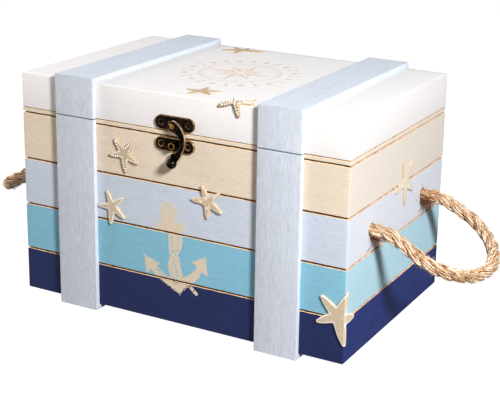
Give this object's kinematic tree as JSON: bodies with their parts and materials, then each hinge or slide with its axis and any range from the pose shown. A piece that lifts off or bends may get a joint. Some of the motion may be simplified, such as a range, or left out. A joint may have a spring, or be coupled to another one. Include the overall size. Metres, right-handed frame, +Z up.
{
  "type": "ditty box",
  "caption": "Painted wooden keepsake box with a hinged lid, plank grooves, wrap-round battens, starfish reliefs, a swing-hook latch and rope side handles.",
  "frame": {"origin": "under the middle of the box, on the surface that it stands on", "axes": "+X to the right seen from the front, +Y to the back, +Z up; the latch faces -Y"},
  "size_m": [0.3728, 0.1698, 0.1592],
  "materials": {
    "plank_paint": "matt paint on grooved pine board, cream, sky blue, turquoise and navy from the top down",
    "bare_wood": "bare sanded pine",
    "lid_paint": "matt white paint",
    "batten_paint": "matt pale blue paint, brushed along the batten",
    "starfish_relief": "sand-coloured cast relief with a pale rim",
    "rope": "three-strand natural sisal",
    "latch_bronze": "antique bronze plate, brass showing at worn edges",
    "worn_brass": "rubbed brass",
    "hinge_brass": "satin antique brass"
  },
  "bodies": {
    "case": {"front_wall": "plank_paint", "back_wall": "plank_paint", "left_wall": "plank_paint", "right_wall": "plank_paint", "bottom_panel": "bare_wood", "left_front_batten": "batten_paint", "right_front_batten": "batten_paint", "left_back_batten": "batten_paint", "right_back_batten": "batten_paint", "left_runner": "batten_paint", "right_runner": "batten_paint", "keeper_plate": "latch_bronze", "keeper_post": "worn_brass", "keeper_nails": "latch_bronze", "left_hinge_case_leaf": "hinge_brass", "right_hinge_case_leaf": "hinge_brass", "left_hinge_pin": "hinge_brass", "right_hinge_pin": "hinge_brass", "hinge_case_screws": "hinge_brass", "right_front_rope_end": "rope", "right_back_rope_end": "rope", "left_front_rope_end": "rope", "left_back_rope_end": "rope", "starfish_cream_plank": "starfish_relief", "starfish_left_sky_plank": "starfish_relief", "starfish_right_sky_plank": "starfish_relief", "starfish_corner": "starfish_relief", "starfish_right_wall": "starfish_relief"},
    "lid": {"lid_front_rail": "lid_paint", "lid_back_rail": "lid_paint", "lid_left_rail": "lid_paint", "lid_right_rail": "lid_paint", "lid_top_panel": "lid_paint", "left_lid_front_batten": "batten_paint", "right_lid_front_batten": "batten_paint", "left_lid_top_batten": "batten_paint", "right_lid_top_batten": "batten_paint", "left_lid_back_batten": "batten_paint", "right_lid_back_batten": "batten_paint", "hook_plate": "latch_bronze", "pivot_rivet": "worn_brass", "hook_plate_nails": "latch_bronze", "left_hinge_lid_leaf": "hinge_brass", "right_hinge_lid_leaf": "hinge_brass", "hinge_lid_screws": "hinge_brass", "starfish_lid_edge": "starfish_relief", "starfish_lid_front": "starfish_relief", "starfish_lid_back": "starfish_relief"},
    "hook": {"latch_hook": "latch_bronze"},
    "right_handle": {"right_rope_handle": "rope"},
    "left_handle": {"left_rope_handle": "rope"}
  },
  "joints": [
    {"name": "lid_hinge", "type": "hinge", "parent": "case", "child": "lid", "pos_m": [0, 0.0829, 0.13215], "axis": [-1, 0, 0], "range_deg": [0, 180]},
    {"name": "hook_swing", "type": "hinge", "parent": "lid", "child": "hook", "pos_m": [0, -0.0795, 0.1366], "axis": [0, -1, 0], "range_deg": [0, 170]},
    {"name": "right_handle_swing", "type": "hinge", "parent": "case", "child": "right_handle", "pos_m": [0.1245, 0, 0.0796], "axis": [0, -1, 0], "range_deg": [-60, 90]},
    {"name": "left_handle_swing", "type": "hinge", "parent": "case", "child": "left_handle", "pos_m": [-0.1245, 0, 0.0796], "axis": [0, 1, 0], "range_deg": [-60, 90]}
  ]
}
